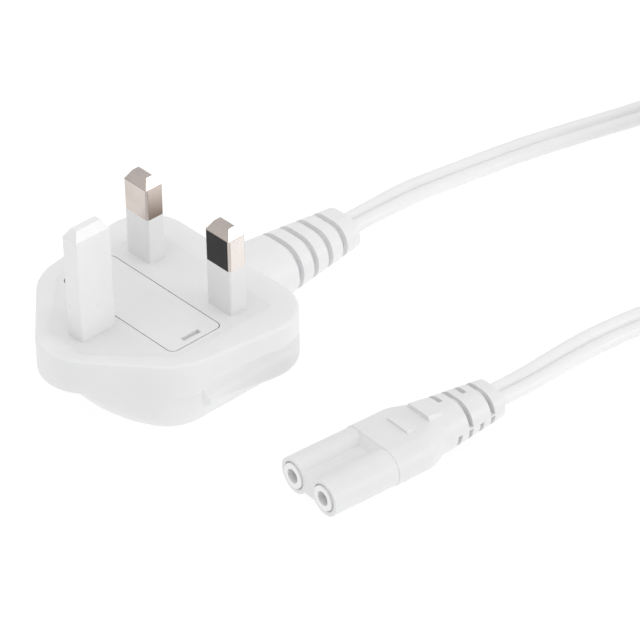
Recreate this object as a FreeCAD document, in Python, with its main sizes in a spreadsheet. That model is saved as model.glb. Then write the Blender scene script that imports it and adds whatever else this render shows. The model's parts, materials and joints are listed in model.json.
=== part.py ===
import FreeCAD, Part
import Sketcher
import math
import os
from FreeCAD import Placement, Rotation, Vector

# A mains lead: a three-pin fused plug, a flat twin cord and a figure-eight connector.
# Origin under the middle of the line and neutral pins, on the plug's back. +Z runs along the
# pins, +Y from those two pins to the earth pin, and the cord leaves the plug along -Y.
# All lengths are in millimetres.

SIZES = {
    # plug housing: outline of the pin face, from the earth end to the cord end
    "plug_depth": 16.5,
    "apex_half": 3.5,
    "apex_reach": 32.6,
    "apex_round": 9.4,
    "shoulder_half": 20.1,
    "shoulder_reach": 18.6,
    "shoulder_round": 11.8,
    "heel_half": 24.5,
    "heel_reach": 11.4,
    "heel_round": 8.9,
    "flange_depth": 6.8,
    "nape_inset": 2.6,
    "nape_radius": 17.0,
    "back_round": 6.5,
    "face_round": 0.6,
    # finger grips along the two long sides, each above a lip
    "lip_height": 6.0,
    "lip_inset": 1.1,
    "lip_reach": 15.5,
    "lip_run": 7.0,
    "lip_round": 0.3,
    "grip_radius": 2.9,
    "grip_height": 9.3,
    "grip_inset": 0.2,
    # plug strain relief, flattened like the cord
    "exit_height": 9.1,
    "relief_flat": 1.4,
    "relief_root_radius": 6.2,
    "relief_end_radius": 3.5,
    "relief_reach": 38.6,
    "ring_inset": 4.2,
    "ring_pitch": 4.03,
    "ring_count": 4,
    "ring_width": 1.3,
    "ring_depth": 1.2,
    # pins
    "pin_pitch": 22.225,
    "earth_offset": 22.225,
    "pin_width": 6.35,
    "pin_thick": 3.975,
    "pin_length": 17.7,
    "earth_width": 7.925,
    "earth_length": 22.73,
    "tip_height": 1.8,
    "tip_inset": 1.25,
    "pin_edge_round": 0.5,
    "pin_foot": 1.2,
    "sleeve_length": 9.5,
    "sleeve_wall": 0.6,
    "sleeve_root": 1.2,
    # rigid inner frame that holds the pins and the fuse
    "frame_wall": 3.5,
    "frame_heel": 5.5,
    "frame_shoulder": 16.3,
    "frame_tip_half": 4.5,
    "frame_tip": 28.2,
    "frame_depth": 10.5,
    "frame_tip_depth": 6.0,
    # fuse and its carrier
    "fuse_reach": 10.8,
    "fuse_length": 25.4,
    "cap_diameter": 6.35,
    "cap_length": 5.7,
    "cap_wall": 0.4,
    "lid_length": 30.4,
    "lid_width": 11.6,
    "lid_thick": 1.2,
    "lid_gap": 0.2,
    "lid_corner": 1.2,
    "pry_slot_width": 1.1,
    "pry_slot_length": 4.0,
    "pry_slot_depth": 0.7,
    "pry_slot_inset": 1.1,
    "cradle_wall": 1.2,
    "cradle_length": 12.0,
    "cradle_gap": 0.05,
    # metal strips, clips and crimps
    "strip_thick": 0.8,
    "strip_width": 5.0,
    "tongue_width": 3.0,
    "clip_gap": 0.12,
    "clip_rise": 7.8,
    "crimp_pitch": 6.4,
    "crimp_wall": 0.6,
    "crimp_length": 4.0,
    # flat twin cord
    "cord_width": 5.6,
    "cord_thick": 2.8,
    "core_diameter": 2.3,
    "coil_radius": 31.0,
    "coil_band": 12.0,
    "coil_height": 11.6,
    "tie_thick": 0.6,
    "tie_width": 7.0,
    # figure-eight connector, measured from the nose towards the cord
    "contact_pitch": 8.6,
    "lobe_radius": 3.5,
    "web_half": 2.1,
    "waist_length": 12.2,
    "nose_length": 13.8,
    "shell_radius": 3.6,
    "shell_length": 20.5,
    "neck_start": 27.5,
    "neck_flat": 1.05,
    "neck_radius": 4.5,
    "tail_radius": 3.2,
    "connector_length": 40.4,
    "thumb_rib_first": 19.5,
    "thumb_rib_pitch": 4.8,
    "thumb_rib_run": 3.0,
    "thumb_rib_half": 2.7,
    "thumb_rib_rise": 0.45,
    "slot_first": 29.3,
    "slot_pitch": 2.7,
    "slot_count": 4,
    "slot_width": 1.0,
    "slot_depth": 0.7,
    "slot_span": 176.0,
    # rigid insert and contacts in the connector
    "barrel_radius": 2.4,
    "barrel_proud": 0.3,
    "barrel_recess_gap": 0.3,
    "barrel_recess_depth": 0.4,
    "insert_block": 8.0,
    "insert_block_half": 1.5,
    "insert_length": 17.0,
    "entry_radius": 1.4,
    "contact_bore": 1.2,
    "contact_wall": 0.35,
    "contact_start": 2.0,
    "contact_depth": 12.5,
    "contact_web": 0.5,
    "contact_crimp": 3.5,
    # where the connector lies beside the plug
    "connector_across": -48.84,
    "connector_along": 15.22,
    "connector_rest": 0.2,
    "connector_turn": -5.6,
    "connector_roll": 3.3,
}

# The cord's routes, each after its straight start: across, along, and height above the
# place where the cord lies on the surface.
PLUG_ROUTE = [
    (1.6, -58.0, 6.0),
    (3.5, -70.0, 2.8),
    (4.2, -81.0, 0.5),
    (2.6, -91.5, 0.0),
    (-0.6, -103.5, 0.0),
    (-5.2, -118.0, 0.0),
    (-9.3, -134.0, 0.0),
    (-10.5, -147.0, 0.0),
]
CONNECTOR_ROUTE = [
    (-52.3, -43.5, 2.5),
    (-51.4, -54.0, 1.0),
    (-53.0, -67.0, 0.0),
    (-57.5, -83.0, 0.0),
    (-64.6, -99.5, 0.0),
    (-72.3, -116.0, 0.0),
    (-78.4, -132.0, 0.0),
    (-79.5, -145.0, 0.0),
]
STRAIGHT_START = 7.5
ARC_SHARE = 0.45
COIL_CENTRE = (-45.0, -145.0)

# Where the two cores part: this share of the plug's strain relief from its root, and this
# far behind the start of the connector's neck.
CORE_SHARE = 1 / 3
CORE_LEAD = 4.0

FACE = "dims.plug_depth"
FLANGE = "dims.plug_depth - dims.flange_depth"
FRAME_FLOOR = "(dims.plug_depth - dims.frame_depth)"
STRIP_FLOOR = "(dims.plug_depth - dims.frame_depth - dims.strip_thick)"
FUSE_AXIS = "(dims.plug_depth - dims.lid_thick - dims.lid_gap - dims.cap_diameter / 2)"
CLIP_MIDDLE = "(dims.fuse_length / 2 - dims.cap_length / 2)"
CONTACT_RADIUS = "(dims.contact_bore + dims.contact_wall)"
LOBE = "dims.contact_pitch / 2"
CONNECTOR_HEIGHT = "(dims.neck_radius + dims.thumb_rib_rise + dims.connector_rest)"

doc = FreeCAD.newDocument("mains_lead")
sheet = doc.addObject("Spreadsheet::Sheet", "dims")
PARTS = []


def write_sheet():
    for row, (name, value) in enumerate(SIZES.items(), start=1):
        sheet.set("A%d" % row, name)
        sheet.set("B%d" % row, str(value))
        sheet.setAlias("B%d" % row, name)
    doc.recompute()


def size(name):
    return float(sheet.get(name))


def minus(expression):
    return "-(%s)" % expression


def shift(thing, across="0", along="0", up="0"):
    thing.setExpression("Placement.Base.x", across)
    thing.setExpression("Placement.Base.y", along)
    thing.setExpression("Placement.Base.z", up)
    return thing


def node(thing, label):
    thing.Label = label
    PARTS.append(thing)
    return thing


def new_body(name):
    return doc.addObject("PartDesign::Body", name)


# sketches

def origin_plane(body, role):
    for feature in body.Origin.OriginFeatures:
        if feature.Role == role:
            return feature
    raise RuntimeError("no plane " + role)


def new_sketch(body, name, role, offset=None):
    sketch = body.newObject("Sketcher::SketchObject", name)
    sketch.AttachmentSupport = [(origin_plane(body, role), "")]
    sketch.MapMode = "FlatFace"
    if offset:
        sketch.setExpression("AttachmentOffset.Base.z", offset)
    return sketch


def pin_value(sketch, kind, edge, end, value, expression):
    index = sketch.addConstraint(Sketcher.Constraint(kind, -1, 1, edge, end, value))
    sketch.setExpression("Constraints[%d]" % index, expression)


def pin_point(sketch, edge, end, across, along):
    start = sketch.getPoint(edge, end)
    pin_value(sketch, "DistanceX", edge, end, start.x, across)
    pin_value(sketch, "DistanceY", edge, end, start.y, along)


def pin_radius(sketch, edge, value, expression):
    index = sketch.addConstraint(Sketcher.Constraint("Radius", edge, value))
    sketch.setExpression("Constraints[%d]" % index, expression)


def polygon(body, name, role, corners, offset=None):
    """A closed outline through corners, each a pair of expressions."""
    sketch = new_sketch(body, name, role, offset)
    count = len(corners)
    loose = []
    for index in range(count):
        angle = 2 * math.pi * index / count
        loose.append(Vector(math.cos(angle), math.sin(angle), 0) * 10)
    for index in range(count):
        sketch.addGeometry(Part.LineSegment(loose[index], loose[(index + 1) % count]), False)
    for index in range(count):
        sketch.addConstraint(Sketcher.Constraint("Coincident", index, 2, (index + 1) % count, 1))
    for index, (across, along) in enumerate(corners):
        pin_point(sketch, index, 1, across, along)
    return sketch


def rectangle(body, name, role, low, high, offset=None):
    corners = [(low[0], low[1]), (high[0], low[1]), (high[0], high[1]), (low[0], high[1])]
    return polygon(body, name, role, corners, offset)


def centred(body, name, role, half_across, half_along, offset=None):
    low = (minus(half_across), minus(half_along))
    return rectangle(body, name, role, low, (half_across, half_along), offset)


def mirrored_corners(corners):
    """The corners given on the +X side, then the same ones on the -X side."""
    return corners + [(minus(across), along) for across, along in reversed(corners)]


def circle(body, name, role, across, radius, offset=None):
    sketch = new_sketch(body, name, role, offset)
    sketch.addGeometry(Part.Circle(Vector(1, 1, 0), Vector(0, 0, 1), 1.0), False)
    pin_point(sketch, 0, 3, across, "0")
    pin_radius(sketch, 0, 1.0, radius)
    return sketch


def stadium(body, name, role, half, radius, offset=None):
    """Two half circles joined by straight lines, along the sketch's first axis."""
    sketch = new_sketch(body, name, role, offset)
    quarter = math.pi / 2
    wide = float(sketch.evalExpression(half))
    tall = float(sketch.evalExpression(radius))
    right = Part.Circle(Vector(wide, 0, 0), Vector(0, 0, 1), tall)
    left = Part.Circle(Vector(-wide, 0, 0), Vector(0, 0, 1), tall)
    sketch.addGeometry(Part.ArcOfCircle(right, -quarter, quarter), False)
    sketch.addGeometry(Part.LineSegment(Vector(wide, tall, 0), Vector(-wide, tall, 0)), False)
    sketch.addGeometry(Part.ArcOfCircle(left, quarter, 3 * quarter), False)
    sketch.addGeometry(Part.LineSegment(Vector(-wide, -tall, 0), Vector(wide, -tall, 0)), False)
    for first, second in ((0, 1), (1, 2), (2, 3), (3, 0)):
        sketch.addConstraint(Sketcher.Constraint("Tangent", first, 2, second, 1))
    sketch.addConstraint(Sketcher.Constraint("Equal", 0, 2))
    pin_radius(sketch, 0, tall, radius)
    pin_point(sketch, 0, 3, half, "0")
    pin_value(sketch, "DistanceX", 2, 3, -wide, minus(half))
    return sketch


# features

def pad(body, sketch, length, name, midplane=False):
    feature = body.newObject("PartDesign::Pad", name)
    feature.Profile = sketch
    feature.Midplane = midplane
    feature.setExpression("Length", length)
    doc.recompute()
    return feature


def pocket(body, sketch, length, name, reverse=False, midplane=False):
    before = body.Shape.Volume
    feature = body.newObject("PartDesign::Pocket", name)
    feature.Profile = sketch
    feature.Reversed = reverse
    feature.Midplane = midplane
    feature.setExpression("Length", length)
    doc.recompute()
    if not feature.Shape.Volume < before - 1e-6:
        raise RuntimeError("pocket cuts nothing: " + name)
    return feature


def loft(body, sketches, name, ruled=True):
    feature = body.newObject("PartDesign::AdditiveLoft", name)
    feature.Profile = sketches[0]
    feature.Sections = sketches[1:]
    feature.Ruled = ruled
    doc.recompute()
    return feature


def revolve(body, sketch, kind, name, angle=360.0, midplane=False, reverse=False):
    """Turns a sketch about its own first axis."""
    feature = body.newObject("PartDesign::" + kind, name)
    feature.Profile = sketch
    feature.ReferenceAxis = (sketch, ["H_Axis"])
    feature.Angle = angle
    feature.Midplane = midplane
    feature.Reversed = reverse
    doc.recompute()
    return feature


def edges_where(shape, wanted):
    return ["Edge%d" % (index + 1) for index, edge in enumerate(shape.Edges) if wanted(edge)]


def round_edges(body, base, radius, wanted, name):
    edges = edges_where(base.Shape, wanted)
    feature = body.newObject("PartDesign::Fillet", name)
    feature.Base = (base, edges)
    feature.setExpression("Radius", radius)
    doc.recompute()
    return feature


def is_upright(edge):
    bounds = edge.BoundBox
    return bounds.XLength < 1e-4 and bounds.YLength < 1e-4


def upright_near(along):
    return lambda edge: is_upright(edge) and abs(edge.BoundBox.YMin - along) < 0.01


def at_height(height):
    return lambda edge: edge.BoundBox.ZLength < 1e-4 and abs(edge.BoundBox.ZMin - height) < 1e-4


def fused(name, pieces):
    feature = doc.addObject("Part::MultiFuse", name)
    feature.Shapes = pieces
    doc.recompute()
    return feature


def cut(name, base, tool):
    feature = doc.addObject("Part::Cut", name)
    feature.Base = base
    feature.Tool = tool
    doc.recompute()
    return feature


# plug housing

def plug_block(body, heel_half, length, offset=None):
    """The plug's outline between two heights, with its six upright corners rounded."""
    corners = mirrored_corners([
        ("dims.apex_half", "dims.apex_reach"),
        ("dims.shoulder_half", "dims.shoulder_reach"),
        (heel_half, "-dims.heel_reach"),
    ])
    block = pad(body, polygon(body, "outline", "XY_Plane", corners, offset), length, "block")
    for part, along in (("apex", size("apex_reach")), ("shoulder", size("shoulder_reach")),
                        ("heel", -size("heel_reach"))):
        block = round_edges(body, block, "dims.%s_round" % part, upright_near(along), part + "_rounds")
    return block


def nape_end():
    return size("apex_reach") - size("nape_inset")


def nape_start():
    """Where the flat back of the plug begins to curve up towards the flange."""
    radius = size("nape_radius")
    rise = size("plug_depth") - size("flange_depth")
    return nape_end() - math.sqrt(radius ** 2 - (radius - rise) ** 2)


def nape_sketch(body):
    """Side view of what the curved back leaves out below the flange, at the earth end."""
    rise = size("plug_depth") - size("flange_depth")
    radius = size("nape_radius")
    reach = nape_end()
    start = nape_start()
    sketch = new_sketch(body, "nape_outline", "YZ_Plane")
    curve = Part.Circle(Vector(start, radius, 0), Vector(0, 0, 1), radius)
    top_angle = math.atan2(rise - radius, reach - start)
    sketch.addGeometry(Part.ArcOfCircle(curve, -math.pi / 2, top_angle), False)
    far = size("apex_reach") + size("plug_depth")
    low = -size("plug_depth")
    corners = [(reach, rise), (far, rise), (far, low), (start, low), (start, 0)]
    for first, second in zip(corners, corners[1:]):
        sketch.addGeometry(Part.LineSegment(Vector(*first, 0), Vector(*second, 0)), False)
    for first in range(4):
        sketch.addConstraint(Sketcher.Constraint("Coincident", first, 2, first + 1, 1))
    sketch.addConstraint(Sketcher.Constraint("Coincident", 4, 2, 0, 1))
    pin_radius(sketch, 0, radius, "dims.nape_radius")
    sketch.addConstraint(Sketcher.Constraint("PointOnObject", 0, 1, -1))
    sketch.addConstraint(Sketcher.Constraint("Vertical", 4))
    sketch.addConstraint(Sketcher.Constraint("DistanceX", 0, 1, 0, 3, 0.0))
    pin_point(sketch, 1, 1, "dims.apex_reach - dims.nape_inset", FLANGE)
    pin_point(sketch, 1, 2, "dims.apex_reach + dims.plug_depth", FLANGE)
    pin_point(sketch, 2, 2, "dims.apex_reach + dims.plug_depth", "-dims.plug_depth")
    pin_value(sketch, "DistanceY", 3, 2, low, "-dims.plug_depth")
    return sketch


def is_back_edge(rise, seam):
    """Edges round the back of the plug, below the flange, apart from the smooth seam across it."""
    def wanted(edge):
        bounds = edge.BoundBox
        if bounds.ZMax > rise + 0.01 or bounds.ZMin > rise - 0.01 or is_upright(edge):
            return False
        return not (bounds.YLength < 1e-4 and abs(bounds.YMin - seam) < 1e-3)
    return wanted


def flange():
    """The wide upper part of the housing, round the pin face."""
    body = new_body("flange")
    block = plug_block(body, "dims.heel_half", "dims.flange_depth", FLANGE)
    round_edges(body, block, "dims.face_round", at_height(size("plug_depth")), "face_rounds")
    return body


def curved_back():
    """The narrow lower part. Its back curves up to the flange at the earth end."""
    body = new_body("curved_back")
    plug_block(body, "dims.shoulder_half", FLANGE)
    hollow = pocket(body, nape_sketch(body), "4 * dims.heel_half", "nape", midplane=True)
    rise = size("plug_depth") - size("flange_depth")
    round_edges(body, hollow, "dims.back_round", is_back_edge(rise, nape_start()), "back_rounds")
    return body


def lips():
    """What stands out on both sides below the finger grips, as wide as the flange."""
    body = new_body("lips")
    block = plug_block(body, "dims.heel_half", FLANGE + " - dims.lip_height", "dims.lip_height")
    round_edges(body, block, "dims.lip_round", at_height(size("lip_height")), "lip_rounds")
    ahead = mirrored_corners([
        ("2 * dims.heel_half", "2 * dims.apex_reach"),
        ("dims.heel_half", "dims.lip_reach - dims.lip_run"),
        ("dims.shoulder_half - dims.lip_inset", "dims.lip_reach"),
    ])
    pocket(body, polygon(body, "ahead_outline", "XY_Plane", ahead, FACE), FACE, "ahead")
    return body


def grip(name, across):
    """One finger grip: a long round scoop that grows deeper towards the heel."""
    feature = doc.addObject("Part::Cylinder", name)
    feature.Placement = Placement(Vector(), Rotation(Vector(0, 0, 1), Vector(0, -1, 0)))
    feature.setExpression("Radius", "dims.grip_radius")
    feature.setExpression("Height", "2 * (dims.apex_reach + dims.heel_reach)")
    return shift(feature, across, "dims.apex_reach", "dims.grip_height")


def relief_radius(along):
    taper = "(dims.relief_root_radius - dims.relief_end_radius) / (dims.relief_reach - dims.heel_reach)"
    return "dims.relief_root_radius - (%s - dims.heel_reach) * %s" % (along, taper)


def relief_length(body, name, start, end, depth="0"):
    """A tapered length of the strain relief between two places along it."""
    sections = []
    for place, along in (("start", start), ("end", end)):
        section = stadium(body, name + "_" + place, "XZ_Plane", "dims.relief_flat",
                          "%s - %s" % (relief_radius(along), depth), along)
        section.setExpression("AttachmentOffset.Base.y", "dims.exit_height")
        sections.append(section)
    loft(body, sections, name)


def ringed_relief():
    """Tapered strain relief: rings on a thinner stem."""
    body = new_body("relief")
    start = "(dims.heel_reach - dims.back_round)"
    relief_length(body, "stem", start, "dims.relief_reach", "dims.ring_depth")
    for ring in reversed(range(int(size("ring_count")))):
        middle = "dims.relief_reach - dims.ring_inset - %d * dims.ring_pitch" % ring
        relief_length(body, "ring_%d" % ring, start, "(%s - dims.ring_width / 2)" % middle)
        start = "(%s + dims.ring_width / 2)" % middle
    relief_length(body, "end_ring", start, "dims.relief_reach")
    return body


def plug_outer():
    whole = fused("plug_whole", [flange(), curved_back(), lips(), ringed_relief()])
    middle = "(dims.shoulder_half + dims.grip_inset + dims.grip_radius)"
    grips = fused("grips", [grip("left_grip", minus(middle)), grip("right_grip", middle)])
    return cut("plug_outer", whole, grips)


# pins

def prong(name, width, thick, foot, top):
    """A rectangular prong with a bevelled tip. foot and top are heights."""
    body = new_body(name)
    across = width + " / 2"
    along = thick + " / 2"
    tip_base = "%s - dims.tip_height" % top
    shank = pad(body, centred(body, "section", "XY_Plane", across, along, foot),
                "%s - (%s)" % (tip_base, foot), "shank")
    round_edges(body, shank, "dims.pin_edge_round", is_upright, "long_edges")
    sketches = []
    for end, inset, height in (("tip_base", "dims.pin_edge_round / 3", tip_base),
                               ("tip_flat", "dims.tip_inset", top)):
        sketches.append(centred(body, end, "XY_Plane", "%s - %s" % (across, inset),
                                "%s - %s" % (along, inset), height))
    loft(body, sketches, "tip")
    return body


def mains_pin(name, across):
    """Brass pin: full section at the tip, narrower inside its sleeve, with a foot under the frame."""
    body = prong(name, "dims.pin_width", "dims.pin_thick", FACE + " + dims.sleeve_length",
                 FACE + " + dims.pin_length")
    neck = centred(body, "neck_section", "XY_Plane", "dims.pin_width / 2 - dims.sleeve_wall",
                   "dims.pin_thick / 2 - dims.sleeve_wall", FRAME_FLOOR)
    pad(body, neck, "dims.frame_depth + dims.sleeve_length", "neck")
    foot = centred(body, "foot_section", "XY_Plane", "dims.pin_width / 2", "dims.pin_thick / 2", FRAME_FLOOR)
    pad(body, foot, "dims.pin_foot", "foot")
    return node(shift(body, across), name)


def sleeve(name, across):
    body = new_body(name)
    start = FACE + " - dims.sleeve_root"
    length = "dims.sleeve_root + dims.sleeve_length"
    outside = centred(body, "outside", "XY_Plane", "dims.pin_width / 2", "dims.pin_thick / 2", start)
    round_edges(body, pad(body, outside, length, "tube"), "dims.pin_edge_round", is_upright, "long_edges")
    inside = centred(body, "inside", "XY_Plane", "dims.pin_width / 2 - dims.sleeve_wall",
                     "dims.pin_thick / 2 - dims.sleeve_wall", start)
    pocket(body, inside, length, "bore", reverse=True)
    return node(shift(body, across), name)


def pins():
    half = "dims.pin_pitch / 2"
    pieces = [mains_pin("line_pin", minus(half)), mains_pin("neutral_pin", half)]
    pieces += [sleeve("line_sleeve", minus(half)), sleeve("neutral_sleeve", half)]
    earth = prong("earth_pin", "dims.pin_thick", "dims.earth_width", FACE + " - dims.frame_tip_depth",
                  FACE + " + dims.earth_length")
    return pieces + [node(shift(earth, "0", "dims.earth_offset"), "earth_pin")]


# inner frame, fuse and its carrier

def frame_block():
    """Deep under the fuse, and shallower round the earth pin, above the plug's curved back."""
    body = new_body("frame_block")
    half = "(dims.shoulder_half - dims.frame_wall)"
    deep = rectangle(body, "deep_outline", "XY_Plane", (minus(half), "-dims.frame_heel"),
                     (half, "dims.frame_shoulder"), FRAME_FLOOR)
    pad(body, deep, "dims.frame_depth", "deep_block")
    corners = mirrored_corners([
        ("dims.frame_tip_half", "dims.frame_tip"),
        (half, "dims.frame_shoulder"),
        (half, "-dims.frame_heel"),
    ])
    shown = polygon(body, "shown_outline", "XY_Plane", corners, FACE + " - dims.frame_tip_depth")
    pad(body, shown, "dims.frame_tip_depth", "shown_block")
    return body


def fuse_bay():
    """The opening through the frame: wide for the lid, narrower for the fuse and its clips."""
    body = new_body("fuse_bay")
    spaces = (
        ("mouth", "dims.lid_length / 2 + dims.lid_gap", "dims.lid_width / 2 + dims.lid_gap",
         FACE + " - dims.lid_thick - dims.lid_gap / 2", "2 * dims.lid_thick"),
        ("trough", "dims.fuse_length / 2 + 2 * dims.lid_gap",
         "dims.cap_diameter / 2 + dims.clip_gap + dims.strip_thick + dims.lid_gap", FRAME_FLOOR,
         "dims.frame_depth"),
    )
    for name, half_length, half_width, floor, height in spaces:
        outline = centred(body, name, "XY_Plane", half_length, half_width, floor)
        space = pad(body, outline, height, name + "_space")
        if name == "mouth":
            round_edges(body, space, "dims.lid_corner + dims.lid_gap", is_upright, "mouth_corners")
    return shift(body, "0", "dims.fuse_reach")


def fuse_carrier():
    """Lid that shows in the pin face, with two rails that hold the fuse by its barrel."""
    body = new_body("fuse_carrier")
    outline = centred(body, "lid_outline", "XY_Plane", "dims.lid_length / 2", "dims.lid_width / 2",
                      FACE + " - dims.lid_thick")
    lid = pad(body, outline, "dims.lid_thick", "lid")
    round_edges(body, lid, "dims.lid_corner", is_upright, "lid_corners")
    slot_end = "-(dims.lid_length / 2 - dims.pry_slot_inset)"
    slot = rectangle(body, "pry_slot_outline", "XY_Plane", (slot_end, "-dims.pry_slot_length / 2"),
                     (slot_end + " + dims.pry_slot_width", "dims.pry_slot_length / 2"), FACE)
    pocket(body, slot, "dims.pry_slot_depth", "pry_slot")
    inner = "dims.cap_diameter / 2 - dims.cap_wall + dims.cradle_gap"
    outer = inner + " + dims.cradle_wall"
    half = "dims.cradle_length / 2"
    for name, low, high in (("near_rail", minus(outer), minus(inner)), ("far_rail", inner, outer)):
        rail = rectangle(body, name + "_outline", "XY_Plane", (minus(half), low), (half, high), FUSE_AXIS)
        pad(body, rail, "dims.cap_diameter / 2 + dims.lid_gap", name)
    return node(shift(body, "0", "dims.fuse_reach"), "fuse_carrier")


def lying(name, radius, start, length):
    """A cylinder on the fuse's axis, from a place across the plug."""
    feature = doc.addObject("Part::Cylinder", name)
    feature.Placement = Placement(Vector(), Rotation(Vector(0, 0, 1), Vector(1, 0, 0)))
    feature.setExpression("Radius", radius)
    feature.setExpression("Height", length)
    return shift(feature, start, "dims.fuse_reach", FUSE_AXIS)


def fuse():
    half = "dims.fuse_length / 2"
    barrel = lying("fuse_barrel", "dims.cap_diameter / 2 - dims.cap_wall", "-(%s - dims.cap_wall)" % half,
                   "dims.fuse_length - 2 * dims.cap_wall")
    node(barrel, "fuse_barrel")
    for label, start in (("fuse_cap_pin_side", minus(half)),
                         ("fuse_cap_line_side", half + " - dims.cap_length")):
        blank = lying(label + "_blank", "dims.cap_diameter / 2", start, "dims.cap_length")
        node(cut(label, blank, barrel), label)


def strip(body, name, low, high, rise="0"):
    """A rectangle of sheet metal under the frame, or standing up from there."""
    return pad(body, rectangle(body, name + "_outline", "XY_Plane", low, high, STRIP_FLOOR),
               "dims.strip_thick + %s" % rise, name)


def clip(body, middle):
    """A foot with two upright arms, one on each side of an end cap of the fuse."""
    reach = "(dims.cap_diameter / 2 + dims.clip_gap + dims.strip_thick)"
    low = ("%s - dims.strip_width / 2" % middle, "dims.fuse_reach - %s" % reach)
    high = ("%s + dims.strip_width / 2" % middle, "dims.fuse_reach + %s" % reach)
    strip(body, "clip_foot", low, high)
    strip(body, "near_arm", low, (high[0], low[1] + " + dims.strip_thick"), "dims.clip_rise")
    strip(body, "far_arm", (low[0], high[1] + " - dims.strip_thick"), high, "dims.clip_rise")
    return low[1]


def crimp(body, middle):
    """A block at the end of a strip, in front of the frame, that grips one core."""
    half = "(dims.core_diameter / 2 + dims.crimp_wall)"
    end = "-dims.frame_heel - dims.crimp_length"
    low = ("%s - %s" % (middle, half), end)
    high = ("%s + %s" % (middle, half), "-dims.frame_heel")
    rise = "dims.exit_height + %s - %s" % (half, FRAME_FLOOR)
    return strip(body, "crimp", low, high, rise)


def pin_clip():
    """Clip on the pin side: its strip runs back under the line pin's foot."""
    body = new_body("pin_clip")
    start = clip(body, "-" + CLIP_MIDDLE)
    strip(body, "tail", ("-(dims.pin_pitch / 2 + dims.pin_width / 2)", "-dims.pin_thick / 2"),
          ("-%s + dims.strip_width / 2" % CLIP_MIDDLE, start))
    return node(body, "pin_clip")


def line_clip():
    """Clip on the incoming side: its strip runs across and back to the line core's crimp."""
    body = new_body("line_clip_blank")
    start = clip(body, CLIP_MIDDLE)
    half = "(dims.core_diameter / 2 + dims.crimp_wall)"
    left = "-dims.crimp_pitch / 2 - %s" % half
    right = "-dims.crimp_pitch / 2 + %s" % half
    strip(body, "tongue", (left, start + " - dims.tongue_width"),
          ("%s + dims.strip_width / 2" % CLIP_MIDDLE, start))
    strip(body, "tail", (left, "-dims.frame_heel"), (right, start + " - dims.tongue_width"))
    crimp(body, "-dims.crimp_pitch / 2")
    return body


def neutral_strip():
    """Strip from the neutral core's crimp to the neutral pin's foot."""
    body = new_body("neutral_strip_blank")
    half = "(dims.core_diameter / 2 + dims.crimp_wall)"
    strip(body, "bar", ("dims.crimp_pitch / 2 - %s" % half, "-dims.frame_heel"),
          ("dims.pin_pitch / 2 + dims.pin_width / 2", "dims.pin_thick / 2 - dims.sleeve_wall"))
    crimp(body, "dims.crimp_pitch / 2")
    return body


# cores and cord

def rounded_path(points):
    """Straight runs joined by tangent arcs. Prints the radii."""
    edges = []
    radii = []
    start = points[0]
    for before, corner, after in zip(points, points[1:], points[2:]):
        back = before - corner
        ahead = after - corner
        trim = ARC_SHARE * min(back.Length, ahead.Length)
        turn = math.pi - back.getAngle(ahead)
        radius = trim / math.tan(turn / 2)
        enter = corner + back.normalize() * trim
        leave = corner + ahead.normalize() * trim
        inward = ((enter - corner) + (leave - corner)).normalize()
        middle = corner + inward * (radius / math.cos(turn / 2) - radius)
        edges.append(Part.LineSegment(start, enter).toShape())
        edges.append(Part.Arc(enter, middle, leave).toShape())
        radii.append(round(radius, 1))
        start = leave
    edges.append(Part.LineSegment(start, points[-1]).toShape())
    print("bend radii", radii)
    return Part.Wire(edges)


def flat_section(start, turn):
    """Cord section at the start of a run: as wide as the cord, with round edges."""
    thick = size("cord_thick")
    half = (size("cord_width") - thick) / 2
    low, high = Vector(0, 0, -thick / 2), Vector(0, 0, thick / 2)
    side = Vector(half, 0, 0)
    bulge = Vector(half + thick / 2, 0, 0)
    wire = Part.Wire([
        Part.LineSegment(low - side, low + side).toShape(),
        Part.Arc(low + side, bulge, high + side).toShape(),
        Part.LineSegment(high + side, high - side).toShape(),
        Part.Arc(high - side, -bulge, low - side).toShape(),
    ])
    wire.rotate(Vector(), Vector(0, 0, 1), turn)
    wire.translate(start)
    return wire


def swept(path, section, flat):
    shell = Part.BRepOffsetAPI.MakePipeShell(path)
    if flat:
        shell.setBiNormalMode(Vector(0, 0, 1))
    shell.add(section, False, False)
    shell.build()
    shell.makeSolid()
    solid = shell.shape()
    expected = Part.Face(section).Area * path.Length
    print("volume", round(solid.Volume, 1), "and section by length", round(expected, 1))
    return solid


def cord_run(label, start, direction, route, turn):
    """A flat length of cord: straight out of its strain relief, then along its route."""
    lying_height = size("cord_thick") / 2
    points = [start, start + direction * STRAIGHT_START]
    points += [Vector(across, along, lying_height + rise) for across, along, rise in route]
    feature = doc.addObject("Part::Feature", label)
    feature.Shape = swept(rounded_path(points), flat_section(start, turn), True)
    return node(feature, label)


def core(label, points):
    """A round insulated core along straight runs and arcs."""
    route = [Vector(*point) for point in points]
    section = Part.Wire([Part.Circle(route[0], route[1] - route[0], size("core_diameter") / 2).toShape()])
    feature = doc.addObject("Part::Feature", label)
    feature.Shape = swept(rounded_path(route), section, False)
    return node(feature, label)


def plug_core(label, side):
    """From the end of the strain relief to the crimp, where the cores part to the crimps' pitch."""
    height = size("exit_height")
    near = side * size("cord_thick") / 2
    far = side * size("crimp_pitch") / 2
    heel = size("heel_reach")
    part = heel + CORE_SHARE * (size("relief_reach") - heel)
    points = [(near, -size("relief_reach"), height), (near, -part, height),
              (far, -heel, height), (far, -size("frame_heel"), height)]
    return core(label, points)


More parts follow.
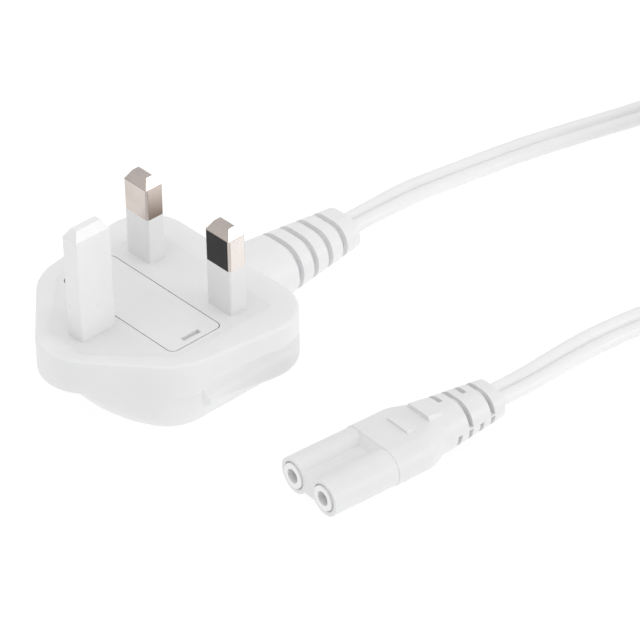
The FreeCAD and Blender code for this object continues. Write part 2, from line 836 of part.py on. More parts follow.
def coil_tie():
    """A flat tie right round the bundle, on the side away from the plug."""
    thick = size("tie_thick")
    half = size("coil_band") / 2
    tall = size("coil_height")
    wide = size("tie_width")
    outer = Part.makeBox(wide, 2 * (half + thick), tall + thick, Vector(-wide / 2, -half - thick, 0))
    inner = Part.makeBox(wide, 2 * half, tall - thick, Vector(-wide / 2, -half, thick))
    feature = doc.addObject("Part::Feature", "coil_tie")
    feature.Shape = outer.cut(inner)
    across, along = COIL_CENTRE
    feature.Placement = Placement(Vector(across, along - size("coil_radius"), 0), Rotation())
    return node(feature, "coil_tie")


def coil(tie):
    """Outer shape of the put-away turns: a flat ring with rounded edges."""
    middle = size("coil_radius")
    half = size("coil_band") / 2
    tall = size("coil_height")
    ring = Part.makeCylinder(middle + half, tall).cut(Part.makeCylinder(middle - half, tall))
    rims = [edge for edge in ring.Edges if edge.BoundBox.ZLength < 1e-4]
    ring = ring.makeFillet(size("cord_thick") / 2, rims)
    ring.translate(Vector(*COIL_CENTRE, 0))
    feature = doc.addObject("Part::Feature", "cord_coil")
    feature.Shape = ring.cut(tie.Shape)
    return node(feature, "cord_coil")


# connector

def lay(body):
    """Puts a connector piece, drawn from the nose along -Y, where the connector lies."""
    roll = Rotation(Vector(0, 1, 0), size("connector_roll"))
    body.Placement = Placement(Vector(), Rotation(Vector(0, 0, 1), size("connector_turn")) * roll)
    return shift(body, "dims.connector_across", "dims.connector_along", CONNECTOR_HEIGHT)


def both_lobes():
    return (("left", minus(LOBE)), ("right", LOBE))


def waisted_nose(body):
    for side, across in both_lobes():
        pad(body, circle(body, side + "_lobe_outline", "XZ_Plane", across, "dims.lobe_radius"),
            "dims.nose_length", side + "_lobe")
        if side == "left":
            pad(body, centred(body, "web_outline", "XZ_Plane", LOBE, "dims.web_half"),
                "dims.waist_length", "web")
    low = centred(body, "ramp_start", "XZ_Plane", LOBE, "dims.web_half", "dims.waist_length")
    high = centred(body, "ramp_end", "XZ_Plane", LOBE, "dims.lobe_radius", "dims.nose_length")
    loft(body, [low, high], "waist_ramp")


def shoulders(body):
    """From the wide shell to the round neck, as one smooth skin."""
    sections = []
    for name, share in (("shell", 0.0), ("fore", 0.35), ("aft", 0.7), ("neck", 1.0)):
        ease = share ** 2 * (3 - 2 * share)
        half = "dims.neck_flat + (%s - dims.neck_flat) * %.4f" % (LOBE, 1 - ease)
        radius = "dims.shell_radius + (dims.neck_radius - dims.shell_radius) * %.4f" % share
        along = "dims.shell_length + (dims.neck_start - dims.shell_length) * %.4f" % share
        sections.append(stadium(body, name + "_section", "XZ_Plane", half, radius, along))
    loft(body, sections, "shoulders", ruled=False)


def thumb_ribs(body):
    """Saw-tooth ribs above and below: steep towards the nose, and running out towards the cord."""
    for index, radius in enumerate(("dims.shell_radius", "dims.neck_radius")):
        start = "dims.thumb_rib_first + %d * dims.thumb_rib_pitch" % index
        sections = []
        for end, height, along in (("ridge", radius + " + dims.thumb_rib_rise", start),
                                   ("run_out", radius, start + " + dims.thumb_rib_run")):
            corners = mirrored_corners([
                ("dims.thumb_rib_half", height),
                ("2 * dims.thumb_rib_half", "0"),
                ("dims.thumb_rib_half", minus(height)),
            ])
            sections.append(polygon(body, "thumb_rib_%d_%s" % (index, end), "XZ_Plane", corners, along))
        loft(body, sections, "thumb_rib_%d" % index)


def slots(body):
    """Two kinds of slot in turn: across top and bottom, and a quarter on opposite sides."""
    taper = "(dims.neck_radius - dims.tail_radius) / (dims.connector_length - dims.neck_start)"
    for index in range(int(size("slot_count"))):
        middle = "(dims.slot_first + %d * dims.slot_pitch)" % index
        for side, sign in (("top", 1), ("bottom", -1)):
            high = "%d * dims.neck_radius" % (2 * sign)
            low = "%d * (dims.tail_radius - dims.slot_depth + (dims.connector_length - %s) * %s)" % (
                sign, middle, taper)
            outline = rectangle(body, "slot_%d_%s_outline" % (index, side), "YZ_Plane",
                                ("-%s - dims.slot_width / 2" % middle, low),
                                ("-%s + dims.slot_width / 2" % middle, high))
            name = "slot_%d_%s" % (index, side)
            if index % 2:
                revolve(body, outline, "Groove", name, size("slot_span"), midplane=True)
            else:
                revolve(body, outline, "Groove", name, size("slot_span") / 2)


def connector_outer():
    body = new_body("connector_outer")
    waisted_nose(body)
    pad(body, stadium(body, "shell_outline", "XZ_Plane", LOBE, "dims.shell_radius", "dims.nose_length"),
        "dims.shell_length - dims.nose_length", "shell")
    shoulders(body)
    ends = (("neck", "dims.neck_radius", "dims.neck_start"),
            ("tail", "dims.tail_radius", "dims.connector_length"))
    relief = [stadium(body, "relief_" + end, "XZ_Plane", "dims.neck_flat", radius, along)
              for end, radius, along in ends]
    loft(body, relief, "relief")
    thumb_ribs(body)
    slots(body)
    for side, across in both_lobes():
        outline = circle(body, side + "_recess_outline", "XZ_Plane", across,
                         "dims.barrel_radius + dims.barrel_recess_gap")
        pocket(body, outline, "dims.barrel_recess_depth", side + "_recess", reverse=True)
    return lay(body)


def insert_blank():
    body = new_body("insert_blank")
    for side, across in both_lobes():
        pad(body, circle(body, side + "_barrel_outline", "XZ_Plane", across, "dims.barrel_radius",
                         "-dims.barrel_proud"), "dims.insert_length + dims.barrel_proud", side + "_barrel")
        if side == "left":
            block = centred(body, "block_outline", "XZ_Plane", LOBE, "dims.insert_block_half",
                            "dims.insert_block")
            pad(body, block, "dims.insert_length - dims.insert_block", "block")
    return lay(body)


def sockets():
    """What the insert leaves open: an entry and a seat for the contact in each barrel."""
    bores = []
    for side, across in both_lobes():
        body = new_body(side + "_socket")
        pad(body, circle(body, "seat_outline", "XZ_Plane", across, CONTACT_RADIUS, "dims.contact_start"),
            "dims.insert_length - dims.contact_start", "seat")
        entry = circle(body, "entry_outline", "XZ_Plane", across, "dims.entry_radius", "-dims.barrel_proud")
        pad(body, entry, "dims.contact_start + dims.barrel_proud", "entry")
        bores.append(lay(body))
    return fused("both_sockets", bores)


def contact(label, across):
    """A tube that takes the appliance's pin, closed behind, and as long as its crimp."""
    body = new_body(label + "_blank")
    pad(body, circle(body, "outside", "XZ_Plane", across, CONTACT_RADIUS, "dims.contact_start"),
        "dims.contact_depth + dims.contact_web + dims.contact_crimp", "tube")
    pocket(body, circle(body, "bore_outline", "XZ_Plane", across, "dims.contact_bore", "dims.contact_start"),
           "dims.contact_depth", "bore", reverse=True)
    return lay(body)


def connector_core(label, side):
    near = side * size("cord_thick") / 2
    far = side * size("contact_pitch") / 2
    end = size("contact_start") + size("contact_depth") + size("contact_web")
    points = [(near, -size("connector_length"), 0), (near, -size("neck_start") - CORE_LEAD, 0),
              (far, -size("shell_length"), 0), (far, -end, 0)]
    return lay(core(label, points))


def build_plug():
    held = pins()
    outer = plug_outer()
    block = frame_block()
    frame_tool = fused("frame_openings", [fuse_bay()] + held)
    node(cut("pin_frame", block, frame_tool), "pin_frame")
    fuse_carrier()
    fuse()
    inside = [block, pin_clip()]
    for label, blank, core_label, side in (("line_clip", line_clip(), "line_core", -1),
                                           ("neutral_strip", neutral_strip(), "neutral_core", 1)):
        wire = plug_core(core_label, side)
        node(cut(label, blank, wire), label)
        inside += [blank, wire]
    node(cut("plug_body", outer, fused("plug_insides", inside)), "plug_body")


def build_cord():
    turn = math.radians(size("connector_turn"))
    down = Vector(math.sin(turn), -math.cos(turn), 0)
    height = size("neck_radius") + size("thumb_rib_rise") + size("connector_rest")
    nose = Vector(size("connector_across"), size("connector_along"), height)
    cord_run("cord_plug_run", Vector(0, -size("relief_reach"), size("exit_height")), Vector(0, -1, 0),
             PLUG_ROUTE, 0.0)
    cord_run("cord_connector_run", nose + down * size("connector_length"), down, CONNECTOR_ROUTE,
             size("connector_turn"))
    coil(coil_tie())


def build_connector():
    blank = insert_blank()
    node(cut("connector_insert", blank, sockets()), "connector_insert")
    inside = [blank]
    for name, across, side in (("line", minus(LOBE), -1), ("neutral", LOBE, 1)):
        tube = contact(name + "_contact", across)
        wire = connector_core("connector_%s_core" % name, side)
        node(cut(name + "_contact", tube, wire), name + "_contact")
        inside += [tube, wire]
    node(cut("connector_body", connector_outer(), fused("connector_insides", inside)), "connector_body")


def check_parts():
    for thing in doc.Objects:
        if "Invalid" in thing.State or "Error" in thing.State:
            raise RuntimeError("failed: " + thing.Name)
    for part in PARTS:
        if part.Shape.isNull() or not part.Shape.isValid():
            raise RuntimeError("bad shape: " + part.Label)


def write_parts():
    os.makedirs("parts", exist_ok=True)
    for part in PARTS:
        part.Shape.exportStep("parts/%s.step" % part.Label)
        print(part.Label, round(part.Shape.Volume, 1), len(part.Shape.Solids))


write_sheet()
build_plug()
build_cord()
build_connector()
doc.recompute()
check_parts()
write_parts()
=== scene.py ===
import json
import math

import bpy
from mathutils import Matrix, Vector


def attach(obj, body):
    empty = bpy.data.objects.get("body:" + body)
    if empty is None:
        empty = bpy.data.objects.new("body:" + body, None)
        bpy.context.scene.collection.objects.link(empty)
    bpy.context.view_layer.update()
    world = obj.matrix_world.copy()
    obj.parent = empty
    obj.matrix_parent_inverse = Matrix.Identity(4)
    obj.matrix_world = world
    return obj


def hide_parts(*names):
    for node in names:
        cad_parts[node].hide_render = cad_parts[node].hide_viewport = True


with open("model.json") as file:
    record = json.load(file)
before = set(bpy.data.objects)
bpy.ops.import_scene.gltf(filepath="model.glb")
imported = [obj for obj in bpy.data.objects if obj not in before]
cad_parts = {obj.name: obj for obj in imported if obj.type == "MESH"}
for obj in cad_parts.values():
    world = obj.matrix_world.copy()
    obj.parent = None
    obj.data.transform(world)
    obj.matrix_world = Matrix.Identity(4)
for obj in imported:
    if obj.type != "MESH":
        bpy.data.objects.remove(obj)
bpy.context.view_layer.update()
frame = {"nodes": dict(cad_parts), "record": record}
NODES = frame["nodes"]
MM = 0.001

# The camera, solved on the plug's pins. Its angles are in radians, and its focal length in pixels
# of a 640 by 640 frame. From the camera, the middle of the two mains pins in the pin face lies
# this far to the right, up and away, in millimetres.
FRAME_PIXELS = 640
FOCAL_PIXELS = 3500.0
SENSOR = 36.0
CAMERA_AZIMUTH = 3.9731
CAMERA_ELEVATION = 0.6325
CAMERA_ROLL = -0.0153
CAMERA_OFFSET = (-24.1397, 7.5265, 633.1274)
CAMERA_CLIP = (0.01, 10.0)
PIN_FACE_HEIGHT = 16.5

# The cord, in millimetres. The routes repeat the control points of the part's source, with
# the height of the cord's middle.
PLUG_EXIT = (0.0, -38.6, 9.1)
PLUG_ROUTE = [
    PLUG_EXIT,
    (0.0, -46.1, 9.1),
    (1.6, -58.0, 7.4),
    (3.5, -70.0, 4.2),
    (4.2, -81.0, 2.1),
    (2.6, -91.5, 1.8),
    (-0.6, -103.5, 1.8),
    (-5.2, -118.0, 2.1),
    (-9.6, -133.0, 3.3),
]
CONNECTOR_ROUTE = [
    (-52.782, -24.987, 5.15),
    (-53.514, -32.451, 5.15),
    (-52.3, -43.5, 3.9),
    (-51.4, -54.0, 2.6),
    (-53.0, -67.0, 2.2),
    (-57.5, -83.0, 2.2),
    (-64.6, -99.5, 2.2),
    (-72.3, -116.0, 2.8),
    (-79.0, -131.0, 3.4),
]
COIL_CENTRE = (-45.0, -145.0)
COIL_STEPS = 20
# turns of the coil so far, radius and height of the cord's middle
COIL_PROFILE = [
    (0.0, 34.9, 3.55),
    (0.35, 32.7, 3.55),
    (2.6, 26.4, 3.55),
    (3.1, 26.4, 9.2),
    (6.1, 35.3, 9.2),
    (6.3, 35.9, 7.6),
    (6.5, 35.9, 4.7),
]
# points of the line for each control point of the route
LINE_STEPS = 10

# The section of the flat twin cord: two round halves, and between them a groove that starts this
# many degrees before each half's inner end and whose bottom is this far from the middle plane.
SHEATH_WIDTH = 5.3
SHEATH_THICK = 2.65
GROOVE_ANGLE = 32.0
GROOVE_BOTTOM = 0.45
LOBE_STEPS = 14

# How the flat cord turns about its own line, in degrees: where along the plug each change
# starts and ends, and the twist before and after it.
PLUG_TWIST = [(-40.0, -60.0, 0.0, -14.0), (-112.0, -138.0, -14.0, -90.0)]
CONNECTOR_TWIST = [(-136.0, -100.0, -90.0, -157.0), (-56.0, -25.0, -157.0, -177.0)]
COIL_TWIST = -90.0

# The tie, in millimetres: a loop round the bundle of turns, outer and lower corner then inner
# and upper one, and two ends that are twisted together and open out.
TIE_X = -45.0
TIE_LOOP = ((-182.1, 0.36), (-169.5, 12.55))
TIE_ROUND = 2.6
TIE_BEND = 1.2
TIE_GAP = 0.36
TIE_TWISTED = 8.0
TIE_TAIL = 11.0
TIE_TURNS = 1.5
TIE_OPENING = 1.6
TIE_TAIL_STEPS = 44
TIE_ARC_STEPS = 8
# a quarter of its section, from the ribbon's edge to the top of the wire
TIE_SECTION = [(2.0, 0.05), (1.9, 0.11), (0.55, 0.13), (0.3, 0.28), (0.0, 0.34)]

# What the materials share. Scales are per metre and depths in metres.
NOISE_LOW, NOISE_HIGH = 0.3, 0.7
GRAIN_DETAIL = 2.0
FLOW_SCALE = 140.0
POLISH_SCALE, POLISH_SPREAD = 420.0, 0.05
SUBSURFACE_SCALE = 0.002
PLATE_SCALE = 260.0
LINE_SCALE, LINE_STRETCH, LINE_DEPTH = 2600.0, (1.0, 1.0, 0.03), 0.000004
LINE_SMOOTHER, LINE_ROUGHER = 0.06, 0.08

# A painted reflection of one side goes to the faces that are turned its way at least this
# squarely, and it changes between these heights of the mains pins, in millimetres.
REFLECTION_FROM, REFLECTION_FULL = 0.93, 0.985
REFLECTION_FOOT, REFLECTION_TOP = 26.0, 33.0

# The stage, in metres and watts.
FLOOR_HALF = 6.0
FLOOR_DROP = 0.0002
FLOOR_TONES = (0.34, 0.34, 0.34), (0.36, 0.36, 0.36)
FLOOR_NOISE = 3.0
FLOOR_GLOW = 0.72
WORLD_STRENGTH = 0.71
LIGHT_TARGET = (-0.02, -0.03, 0.01)
LIGHTS = [
    ("overhead", (1.4, 1.4), 6.0, (0.1, 0.1, 1.3)),
    ("right_key", (0.7, 0.5), 4.5, (-1.22, -0.815, 0.40)),
]


# materials

class Shader:
    """A node material with one surface shader, built node by node."""

    def __init__(self, name, **sockets):
        self.material = bpy.data.materials.new(name)
        self.material.use_nodes = True
        self.tree = self.material.node_tree
        self.surface = self.tree.nodes["Principled BSDF"]
        for socket, value in sockets.items():
            self.surface.inputs[socket.replace("_", " ")].default_value = value
        coordinates = self.add("ShaderNodeTexCoord")
        self.place = coordinates.outputs["Object"]
        self.facing = coordinates.outputs["Normal"]

    def add(self, kind, **settings):
        node = self.tree.nodes.new(kind)
        for name, value in settings.items():
            setattr(node, name, value)
        return node

    def join(self, output, socket):
        self.tree.links.new(output, socket)

    def drive(self, socket, output):
        """Feeds an input of the surface shader."""
        self.join(output, self.surface.inputs[socket])

    def noise(self, scale, detail=3.0, stretch=(1.0, 1.0, 1.0)):
        mapping = self.add("ShaderNodeMapping")
        mapping.inputs["Scale"].default_value = stretch
        self.join(self.place, mapping.inputs["Vector"])
        node = self.add("ShaderNodeTexNoise")
        node.inputs["Scale"].default_value = scale
        node.inputs["Detail"].default_value = detail
        self.join(mapping.outputs["Vector"], node.inputs["Vector"])
        return node.outputs["Fac"]

    def ramp(self, output, start, end, low=0.0, high=1.0):
        """A number that goes from low to high while the output goes from start to end."""
        node = self.add("ShaderNodeMapRange")
        node.inputs["From Min"].default_value = start
        node.inputs["From Max"].default_value = end
        node.inputs["To Min"].default_value = low
        node.inputs["To Max"].default_value = high
        self.join(output, node.inputs["Value"])
        return node.outputs["Result"]

    def tones(self, output, low, high):
        """A colour between two, from a noise."""
        node = self.add("ShaderNodeValToRGB")
        node.color_ramp.elements[0].position = NOISE_LOW
        node.color_ramp.elements[1].position = NOISE_HIGH
        node.color_ramp.elements[0].color = (*low, 1.0)
        node.color_ramp.elements[1].color = (*high, 1.0)
        self.join(output, node.inputs["Fac"])
        return node.outputs["Color"]

    def painted_reflection(self, tone, direction, foot, top):
        """Painted reflection: another colour on the flat face turned one way, foot to top."""
        turned = self.add("ShaderNodeVectorMath", operation="DOT_PRODUCT")
        turned.inputs[1].default_value = direction
        self.join(self.facing, turned.inputs[0])
        axes = self.add("ShaderNodeSeparateXYZ")
        self.join(self.place, axes.inputs["Vector"])
        height = self.ramp(axes.outputs["Z"], REFLECTION_FOOT * MM, REFLECTION_TOP * MM)
        side = self.add("ShaderNodeMix", data_type="RGBA")
        side.inputs["A"].default_value = (*foot, 1.0)
        side.inputs["B"].default_value = (*top, 1.0)
        self.join(height, side.inputs["Factor"])
        mix = self.add("ShaderNodeMix", data_type="RGBA")
        self.join(self.ramp(turned.outputs["Value"], REFLECTION_FROM, REFLECTION_FULL), mix.inputs["Factor"])
        self.join(tone, mix.inputs["A"])
        self.join(side.outputs["Result"], mix.inputs["B"])
        return mix.outputs["Result"]

    def bump(self, output, height):
        node = self.add("ShaderNodeBump")
        node.inputs["Strength"].default_value = 1.0
        node.inputs["Distance"].default_value = height
        self.join(output, node.inputs["Height"])
        self.drive("Normal", node.outputs["Normal"])


def moulded(name, colour, shade, roughness, grain, depth, subsurface=0.0):
    """Moulded plastic: faint flow marks in its colour, and a fine spark-eroded grain."""
    shader = Shader(name, Subsurface_Weight=subsurface, Subsurface_Scale=SUBSURFACE_SCALE)
    shader.surface.inputs["Subsurface Radius"].default_value = (1.0, 1.0, 1.0)
    darker = tuple(value * shade for value in colour)
    shader.drive("Base Color", shader.tones(shader.noise(FLOW_SCALE), darker, colour))
    shader.drive("Roughness", shader.ramp(shader.noise(POLISH_SCALE), NOISE_LOW, NOISE_HIGH,
                                          roughness - POLISH_SPREAD, roughness + POLISH_SPREAD))
    shader.bump(shader.noise(grain, detail=GRAIN_DETAIL), depth)
    return shader.material


def plated(name, colour, shade, roughness, painted_reflections=()):
    """Plate or bare metal: drawn lines along the pin, a little uneven polish, any painted
    reflections.
    """
    shader = Shader(name, Metallic=1.0)
    darker = tuple(value * shade for value in colour)
    tone = shader.tones(shader.noise(PLATE_SCALE), darker, colour)
    # painted reflections go over the plate's own tone
    for side in painted_reflections:
        tone = shader.painted_reflection(tone, *side)
    shader.drive("Base Color", tone)
    lines = shader.noise(LINE_SCALE, stretch=LINE_STRETCH)
    shader.drive("Roughness", shader.ramp(lines, NOISE_LOW, NOISE_HIGH, roughness - LINE_SMOOTHER,
                                          roughness + LINE_ROUGHER))
    shader.bump(lines, LINE_DEPTH)
    return shader.material


def grey(value):
    return (value, value, value)


WHITE = (0.81, 0.81, 0.815)
CORD_WHITE = (0.83, 0.83, 0.835)
CONNECTOR_WHITE = (0.775, 0.775, 0.78)
NICKEL = (0.66, 0.59, 0.55)
# For each slot: the name, the colour, how dark its marks get and its roughness. A moulding then
# has the scale and depth of its grain and, where soft, how much light it takes in.
MATERIALS = {
    "housing": moulded("soft_white_housing", WHITE, 0.975, 0.42, 3200.0, 0.000010, 0.15),
    "frame": moulded("rigid_white_frame", grey(0.78), 0.97, 0.34, 2400.0, 0.000008),
    "earth_pin": moulded("rigid_white_pin", grey(0.84), 0.975, 0.32, 2600.0, 0.000006),
    "plated": plated("nickel_plate", NICKEL, 0.9, 0.2),
    "sleeve": moulded("white_sleeve", grey(0.80), 0.975, 0.38, 2600.0, 0.000006),
    "carrier": moulded("rigid_white_carrier", grey(0.79), 0.97, 0.34, 2400.0, 0.000008),
    "ceramic": moulded("glazed_ceramic", (0.72, 0.68, 0.58), 0.94, 0.18, 900.0, 0.000006),
    "strip_brass": plated("bare_brass", (0.72, 0.52, 0.22), 0.85, 0.24),
    "brown_core": moulded("brown_insulation", (0.16, 0.07, 0.03), 0.9, 0.45, 2600.0, 0.000006),
    "blue_core": moulded("blue_insulation", (0.03, 0.12, 0.45), 0.9, 0.45, 2600.0, 0.000006),
    "cord": moulded("soft_white_sheath", CORD_WHITE, 0.985, 0.4, 2600.0, 0.000004, 0.1),
    "tie": moulded("white_tie", (0.72, 0.72, 0.73), 0.96, 0.38, 1800.0, 0.000008, 0.1),
    "connector": moulded("soft_white_connector", CONNECTOR_WHITE, 0.975, 0.42, 3200.0, 0.000010,
                         0.15),
    "insert": moulded("rigid_white_insert", grey(0.88), 0.975, 0.32, 2600.0, 0.000006),
}
# The pins' colours hold painted reflections of what stands round them in the photo, which isn't
# in this scene: the nearer pin's wide face is painted black, and the narrow faces are painted
# bright on it and brown on the other one. Each painted reflection has its direction, its tone at
# the foot and its tone at the top.
SOCKET_PLATE = plated("nickel_plate_socket", (0.92, 0.90, 0.88), 0.95, 0.4)
NODE_MATERIALS = {
    "line_pin": plated("nickel_plate_near_painted_reflections", NICKEL, 0.9, 0.2, [
        # painted reflection: the wide face turned +y is painted black
        ((0.0, 1.0, 0.0), grey(0.045), grey(0.045)),
        # painted reflection of bright light: the narrow face turned -x is painted light
        ((-1.0, 0.0, 0.0), (0.84, 0.77, 0.73), (0.88, 0.82, 0.78)),
    ]),
    "neutral_pin": plated("nickel_plate_far_painted_reflection", NICKEL, 0.9, 0.2, [
        # painted reflection: the narrow face turned -x is painted brown, lighter towards the top
        ((-1.0, 0.0, 0.0), (0.26, 0.20, 0.16), (0.66, 0.58, 0.53)),
    ]),
    "line_contact": SOCKET_PLATE,
    "neutral_contact": SOCKET_PLATE,
}


def finish_nodes():
    """Gives each CAD node its own material, or else the one of its slot."""
    for subpart in frame["record"]["subparts"]:
        name, slot = subpart["node"], subpart["material_slot"]
        mesh = NODES[name].data
        mesh.materials.clear()
        mesh.materials.append(NODE_MATERIALS.get(name, MATERIALS[slot]))


# swept pieces

def new_piece(name, vertices, faces, slot):
    mesh = bpy.data.meshes.new(name)
    mesh.from_pydata(vertices, [], faces)
    mesh.validate()
    mesh.materials.append(MATERIALS[slot])
    mesh.shade_smooth()
    piece = bpy.data.objects.new(name, mesh)
    bpy.context.scene.collection.objects.link(piece)
    return piece


def heading(line, index):
    """The line's direction at one of its points, from the points beside it."""
    return line[min(index + 1, len(line) - 1)] - line[max(index - 1, 0)]


def swept_faces(rings, count):
    """Faces round the rings of a section with so many points, and one face on each end."""
    faces = []
    for ring in range(rings - 1):
        for step in range(count):
            a = ring * count + step
            b = ring * count + (step + 1) % count
            faces.append((a, b, b + count, a + count))
    faces.append(tuple(reversed(range(count))))
    faces.append(tuple(range((rings - 1) * count, rings * count)))
    return faces


def eased(value, start, end):
    """From 0 to 1 while the value goes from start to end, slow at both."""
    share = min(1.0, max(0.0, (value - start) / (end - start)))
    return share * share * (3 - 2 * share)


# cord

def coil_place(turn):
    """The radius and height of the coil after a number of turns."""
    for (t0, *low), (t1, *high) in zip(COIL_PROFILE, COIL_PROFILE[1:]):
        if turn <= t1:
            share = (turn - t0) / (t1 - t0)
            return [a + (b - a) * share for a, b in zip(low, high)]
    return COIL_PROFILE[-1][1:]


def coil_points():
    """Control points of the put-away turns, clockwise seen from above."""
    total = COIL_PROFILE[-1][0]
    widen = 1 / math.cos(math.pi / COIL_STEPS)
    points = []
    for index in range(int(total * COIL_STEPS) + 1):
        turn = index / COIL_STEPS
        radius, height = coil_place(turn)
        angle = -2 * math.pi * turn
        points.append((COIL_CENTRE[0] + radius * widen * math.cos(angle),
                       COIL_CENTRE[1] + radius * widen * math.sin(angle), height))
    return points


def route_line():
    """Points read from the cord's route, which is one smooth spline."""
    route = PLUG_ROUTE + coil_points() + CONNECTOR_ROUTE[::-1]
    curve = bpy.data.curves.new("cord_route", "CURVE")
    curve.dimensions = "3D"
    spline = curve.splines.new("NURBS")
    spline.points.add(len(route) - 1)
    for point, place in zip(spline.points, route):
        point.co = (*(value * MM for value in place), 1.0)
    spline.order_u = 3
    spline.use_endpoint_u = True
    spline.resolution_u = LINE_STEPS
    holder = bpy.data.objects.new("cord_route", curve)
    bpy.context.scene.collection.objects.link(holder)
    bpy.context.view_layer.update()
    mesh = bpy.data.meshes.new_from_object(holder)
    line = [vertex.co.copy() for vertex in mesh.vertices]
    bpy.data.objects.remove(holder)
    bpy.data.curves.remove(curve)
    bpy.data.meshes.remove(mesh)
    return line


def in_coil(index, total):
    """Whether a point of the line belongs to the coil's turns."""
    first = (len(PLUG_ROUTE) + 1) * LINE_STEPS
    last = total - (len(CONNECTOR_ROUTE) + 1) * LINE_STEPS
    return first < index < last


def twist_at(line, index):
    """The cord lies nearly flat where it is seen and stands on edge in the coil."""
    if in_coil(index, len(line)):
        return math.radians(COIL_TWIST)
    changes = PLUG_TWIST if index < len(line) // 2 else CONNECTOR_TWIST
    twist = changes[0][2]
    for start, end, before, after in changes:
        twist += (after - before) * eased(line[index].y / MM, start, end)
    return math.radians(twist)


def twin_section():
    """Section of the flat twin cord: two round halves with a sharp groove between them."""
    radius = SHEATH_THICK / 2
    reach = (SHEATH_WIDTH - SHEATH_THICK) / 2
    swing = math.pi - math.radians(GROOVE_ANGLE)
    outline = []
    for side in (1, -1):
        outline.append((0.0, -side * GROOVE_BOTTOM))
        for step in range(LOBE_STEPS + 1):
            angle = -swing + 2 * swing * step / LOBE_STEPS
            outline.append((side * (reach + radius * math.cos(angle)),
                            side * radius * math.sin(angle)))
    return outline


def cord_piece(line):
    """The sheath round the whole line, with its two grooves as sharp edges."""
    section = twin_section()
    count = len(section)
    vertices = []
    for index, point in enumerate(line):
        along = heading(line, index).normalized()
        across = along.cross(Vector((0, 0, 1))).normalized()
        over = across.cross(along)
        twist = twist_at(line, index)
        wide = across * math.cos(twist) + over * math.sin(twist)
        flat = over * math.cos(twist) - across * math.sin(twist)
        vertices += [point + (wide * u + flat * v) * MM for u, v in section]
    cord = new_piece("flat_twin_cord", vertices, swept_faces(len(line), count), "cord")
    for edge in cord.data.edges:
        start, end = (vertex % count for vertex in edge.vertices)
        edge.use_edge_sharp = start == end and start in (0, count // 2)
    return cord


def make_cord():
    line = route_line()
    cord = cord_piece(line)
    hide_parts("cord_plug_run", "cord_coil", "cord_connector_run")
    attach(cord, "lead")


# tie

def tie_line():
    """The tie's middle from end to end: places, and the directions across its width."""
    (outer, floor), (inner, top) = TIE_LOOP
    middle = (floor + top) / 2
    root = inner + TIE_BEND
    places, widths = [], []

    def put(y, z, x=0.0, width=(1.0, 0.0)):
        places.append(Vector((TIE_X + x, y, z)))
        widths.append(Vector((width[0], 0.0, width[1])))

    def arc(y, z, radius, start, sweep):
        for step in range(TIE_ARC_STEPS + 1):
            angle = math.radians(start + sweep * step / TIE_ARC_STEPS)
            put(y + radius * math.cos(angle), z + radius * math.sin(angle))

    def tail(side, distance):
        turn = 2 * math.pi * TIE_TURNS * min(distance / TIE_TWISTED, 1.0)
        apart = TIE_GAP + TIE_OPENING * eased(distance, TIE_TWISTED, TIE_TAIL)
        put(root + distance, middle + side * apart * math.cos(turn), side * apart * math.sin(turn),
            (math.cos(turn), -math.sin(turn)))

    for step in range(TIE_TAIL_STEPS, 0, -1):
        tail(1, TIE_TAIL * step / TIE_TAIL_STEPS)
    arc(root, middle + TIE_GAP + TIE_BEND, TIE_BEND, 270, -90)
    corners = [(inner, top, 0), (outer, top, 90), (outer, floor, 180), (inner, floor, 270)]
    for y, z, start in corners:
        y += -TIE_ROUND if y == inner else TIE_ROUND
        z += -TIE_ROUND if z == top else TIE_ROUND
        arc(y, z, TIE_ROUND, start, 90)
    arc(root, middle - TIE_GAP - TIE_BEND, TIE_BEND, 180, -90)
    for step in range(1, TIE_TAIL_STEPS + 1):
        tail(-1, TIE_TAIL * step / TIE_TAIL_STEPS)
    return places, widths


def make_tie():
    """A twist tie: a thin ribbon with a wire down its middle, whose ends are twisted together."""
    section = TIE_SECTION + [(-u, v) for u, v in TIE_SECTION[-2::-1]]
    section += [(-u, -v) for u, v in TIE_SECTION] + [(u, -v) for u, v in TIE_SECTION[-2::-1]]
    places, widths = tie_line()
    vertices = []
    for index, (place, width) in enumerate(zip(places, widths)):
        thick = heading(places, index).cross(width).normalized()
        vertices += [(place + width * u + thick * v) * MM for u, v in section]
    tie = new_piece("twist_tie", vertices, swept_faces(len(places), len(section)), "tie")
    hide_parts("coil_tie")
    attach(tie, "lead")


# stage

def make_floor():
    """Pale paper that lights itself a little, so it comes out as white as in the photo."""
    mesh = bpy.data.meshes.new("floor")
    signs = [(-1, -1), (1, -1), (1, 1), (-1, 1)]
    corners = [(x * FLOOR_HALF, y * FLOOR_HALF, 0) for x, y in signs]
    mesh.from_pydata(corners, [], [(0, 1, 2, 3)])
    shader = Shader("floor_paper", Roughness=0.9, Emission_Strength=FLOOR_GLOW)
    shader.surface.inputs["Emission Color"].default_value = (1.0, 1.0, 1.0, 1.0)
    shader.drive("Base Color", shader.tones(shader.noise(FLOOR_NOISE), *FLOOR_TONES))
    mesh.materials.append(shader.material)
    floor = bpy.data.objects.new("floor", mesh)
    floor.location.z = -FLOOR_DROP
    bpy.context.scene.collection.objects.link(floor)


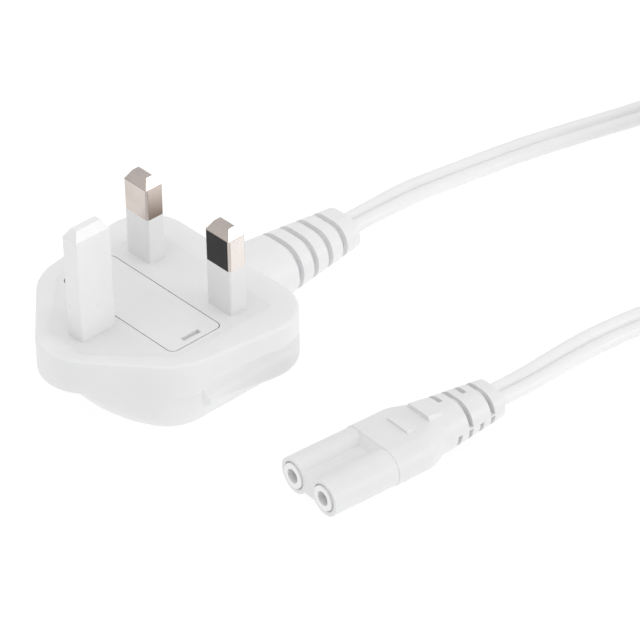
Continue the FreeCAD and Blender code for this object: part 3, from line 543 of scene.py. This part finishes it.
def add_light(name, size, power, place):
    light = bpy.data.lights.new(name, "AREA")
    light.shape = "RECTANGLE"
    light.size, light.size_y = size
    light.energy = power
    lamp = bpy.data.objects.new(name, light)
    lamp.location = place
    lamp.rotation_mode = "QUATERNION"
    lamp.rotation_quaternion = (Vector(LIGHT_TARGET) - Vector(place)).to_track_quat("-Z", "Y")
    bpy.context.scene.collection.objects.link(lamp)


def make_lights():
    """Soft studio light: a white room, a large lamp overhead and a key light from the right."""
    world = bpy.data.worlds.new("studio")
    world.use_nodes = True
    background = world.node_tree.nodes["Background"]
    background.inputs["Color"].default_value = (1.0, 1.0, 1.0, 1.0)
    background.inputs["Strength"].default_value = WORLD_STRENGTH
    bpy.context.scene.world = world
    for light in LIGHTS:
        add_light(*light)


def make_camera():
    """The photo's camera."""
    sin_azimuth, cos_azimuth = math.sin(CAMERA_AZIMUTH), math.cos(CAMERA_AZIMUTH)
    level_part = math.cos(CAMERA_ELEVATION)
    back = Vector((sin_azimuth * level_part, -cos_azimuth * level_part,
                   math.sin(CAMERA_ELEVATION)))
    level = Vector((cos_azimuth, sin_azimuth, 0.0))
    upright = back.cross(level)
    right = level * math.cos(CAMERA_ROLL) + upright * math.sin(CAMERA_ROLL)
    up = upright * math.cos(CAMERA_ROLL) - level * math.sin(CAMERA_ROLL)
    offset_right, offset_up, distance = CAMERA_OFFSET
    pin_middle = Vector((0, 0, PIN_FACE_HEIGHT))
    place = back * distance - right * offset_right - up * offset_up + pin_middle
    data = bpy.data.cameras.new("camera")
    data.sensor_width = SENSOR
    data.lens = SENSOR * FOCAL_PIXELS / FRAME_PIXELS
    data.clip_start, data.clip_end = CAMERA_CLIP
    camera = bpy.data.objects.new("camera", data)
    turned = Matrix((right, up, back)).transposed().to_4x4()
    camera.matrix_world = Matrix.Translation(place * MM) @ turned
    bpy.context.scene.collection.objects.link(camera)
    bpy.context.scene.camera = camera


bpy.context.scene.view_settings.view_transform = "Standard"
finish_nodes()
make_tie()
make_cord()
make_floor()
make_lights()
make_camera()
